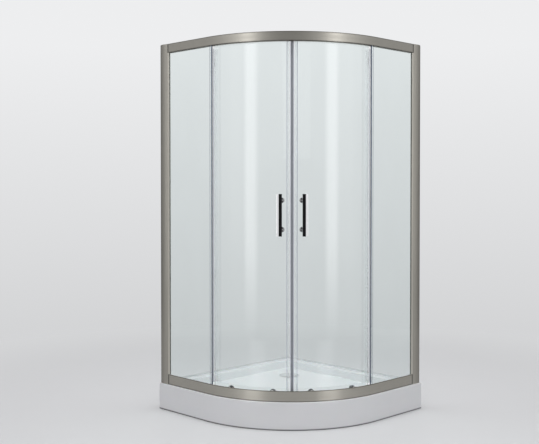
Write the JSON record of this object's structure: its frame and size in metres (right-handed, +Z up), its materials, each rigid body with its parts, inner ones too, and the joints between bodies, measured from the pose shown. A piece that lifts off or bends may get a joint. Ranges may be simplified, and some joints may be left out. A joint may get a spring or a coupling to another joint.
{
  "type": "quadrant shower enclosure",
  "caption": "Quadrant shower enclosure: low curved-front tray, curved rails, flat fixed panes and curved glass doors that roll apart, with bar handles and magnetic seals.",
  "frame": {"origin": "on the floor, at the centre of the square footprint", "axes": "+Z up; the two room walls lie at X = -0.5 m and Y = +0.5 m; the curved front faces +X and -Y"},
  "size_m": [1, 1, 1.958],
  "materials": {
    "tray_acrylic": "white glossy acrylic",
    "board": "raw board",
    "painted_steel": "grey powder coat",
    "foot_plastic": "black moulded plastic",
    "zinc_steel": "zinc plated",
    "chrome_trim": "polished chrome",
    "seal_rubber": "black rubber",
    "pipe_plastic": "white pipe plastic",
    "satin_nickel": "satin brushed nickel anodised",
    "jamb_metal": "satin anodised",
    "block_plastic": "moulded plastic",
    "stop_rubber": "black rubber",
    "pane_glass": "clear toughened glass",
    "door_glass": "clear toughened curved glass",
    "gasket_rubber": "dark grey rubber",
    "clear_seal": "clear flexible plastic",
    "magnet_dark": "dark magnetic strip",
    "handle_chrome": "polished chrome",
    "handle_black": "glossy black",
    "roller_metal": "dark nickel",
    "roller_cap": "dark glossy plastic",
    "wheel_nylon": "white nylon"
  },
  "bodies": {
    "frame": {"bottom_rail": "satin_nickel", "channel_caps": "satin_nickel", "door_stops": "stop_rubber", "jamb_screws": "zinc_steel", "left_fixed_pane": "pane_glass", "left_glazing_gaskets": "gasket_rubber", "left_jamb": "jamb_metal", "left_strike_seal": "clear_seal", "left_wall_channel": "satin_nickel", "rail_end_blocks": "block_plastic", "rail_screws": "zinc_steel", "right_fixed_pane": "pane_glass", "right_glazing_gaskets": "gasket_rubber", "right_jamb": "jamb_metal", "right_strike_seal": "clear_seal", "right_wall_channel": "satin_nickel", "top_rail": "satin_nickel", "tray_foot_nuts": "zinc_steel", "tray_foot_pads": "foot_plastic", "tray_foot_rods": "zinc_steel", "tray_shell": "tray_acrylic", "tray_support_bars": "painted_steel", "tray_support_board": "board", "waste_body": "pipe_plastic", "waste_cover": "chrome_trim", "waste_flange": "chrome_trim", "waste_outlet": "pipe_plastic", "waste_seal": "seal_rubber"},
    "left_door": {"left_door_glass": "door_glass", "left_drip_seal": "clear_seal", "left_handle_bar": "handle_chrome", "left_handle_insert": "handle_black", "left_handle_knobs": "handle_chrome", "left_handle_posts": "handle_chrome", "left_hook_seal": "clear_seal", "left_magnet_seal": "clear_seal", "left_magnet_strip": "magnet_dark", "left_roller_axles": "roller_metal", "left_roller_caps": "roller_cap"},
    "left_bottom_inner_wheel": {"left_bottom_inner_wheel": "wheel_nylon"},
    "left_bottom_outer_wheel": {"left_bottom_outer_wheel": "wheel_nylon"},
    "left_top_inner_wheel": {"left_top_inner_wheel": "wheel_nylon"},
    "left_top_outer_wheel": {"left_top_outer_wheel": "wheel_nylon"},
    "right_door": {"right_door_glass": "door_glass", "right_drip_seal": "clear_seal", "right_handle_bar": "handle_chrome", "right_handle_insert": "handle_black", "right_handle_knobs": "handle_chrome", "right_handle_posts": "handle_chrome", "right_hook_seal": "clear_seal", "right_magnet_seal": "clear_seal", "right_magnet_strip": "magnet_dark", "right_roller_axles": "roller_metal", "right_roller_caps": "roller_cap"},
    "right_bottom_inner_wheel": {"right_bottom_inner_wheel": "wheel_nylon"},
    "right_bottom_outer_wheel": {"right_bottom_outer_wheel": "wheel_nylon"},
    "right_top_inner_wheel": {"right_top_inner_wheel": "wheel_nylon"},
    "right_top_outer_wheel": {"right_top_outer_wheel": "wheel_nylon"}
  },
  "joints": [
    {"name": "left_door_run", "type": "hinge", "parent": "frame", "child": "left_door", "pos_m": [-0.1307, 0.158, 1.05], "axis": [0, 0, -1], "range_deg": [0, 20.07]},
    {"name": "left_bottom_inner_wheel_spin", "type": "hinge", "parent": "left_door", "child": "left_bottom_inner_wheel", "pos_m": [0.2233, -0.36103, 0.1815], "axis": [0.5793, -0.8151, 0], "continuous": true},
    {"name": "left_bottom_outer_wheel_spin", "type": "hinge", "parent": "left_door", "child": "left_bottom_outer_wheel", "pos_m": [0.00941, -0.4556, 0.1815], "axis": [0.213, -0.977, 0], "continuous": true},
    {"name": "left_top_inner_wheel_spin", "type": "hinge", "parent": "left_door", "child": "left_top_inner_wheel", "pos_m": [0.2233, -0.36103, 1.923], "axis": [0.5793, -0.8151, 0], "continuous": true},
    {"name": "left_top_outer_wheel_spin", "type": "hinge", "parent": "left_door", "child": "left_top_outer_wheel", "pos_m": [0.00941, -0.4556, 1.923], "axis": [0.213, -0.977, 0], "continuous": true},
    {"name": "right_door_run", "type": "hinge", "parent": "frame", "child": "right_door", "pos_m": [-0.158, 0.1307, 1.05], "axis": [0, 0, 1], "range_deg": [0, 20.07]},
    {"name": "right_bottom_inner_wheel_spin", "type": "hinge", "parent": "right_door", "child": "right_bottom_inner_wheel", "pos_m": [0.36103, -0.2233, 0.1815], "axis": [-0.8151, 0.5793, 0], "continuous": true},
    {"name": "right_bottom_outer_wheel_spin", "type": "hinge", "parent": "right_door", "child": "right_bottom_outer_wheel", "pos_m": [0.4556, -0.00941, 0.1815], "axis": [-0.977, 0.213, 0], "continuous": true},
    {"name": "right_top_inner_wheel_spin", "type": "hinge", "parent": "right_door", "child": "right_top_inner_wheel", "pos_m": [0.36103, -0.2233, 1.923], "axis": [-0.8151, 0.5793, 0], "continuous": true},
    {"name": "right_top_outer_wheel_spin", "type": "hinge", "parent": "right_door", "child": "right_top_outer_wheel", "pos_m": [0.4556, -0.00941, 1.923], "axis": [-0.977, 0.213, 0], "continuous": true}
  ],
  "couplings": [
    {"joint": "left_bottom_inner_wheel_spin", "follows": "left_door_run", "ratio": 66.133},
    {"joint": "left_bottom_outer_wheel_spin", "follows": "left_door_run", "ratio": 66.251},
    {"joint": "left_top_inner_wheel_spin", "follows": "left_door_run", "ratio": 66.133},
    {"joint": "left_top_outer_wheel_spin", "follows": "left_door_run", "ratio": 66.251},
    {"joint": "right_bottom_inner_wheel_spin", "follows": "right_door_run", "ratio": 66.133},
    {"joint": "right_bottom_outer_wheel_spin", "follows": "right_door_run", "ratio": 66.251},
    {"joint": "right_top_inner_wheel_spin", "follows": "right_door_run", "ratio": 66.133},
    {"joint": "right_top_outer_wheel_spin", "follows": "right_door_run", "ratio": 66.251}
  ]
}
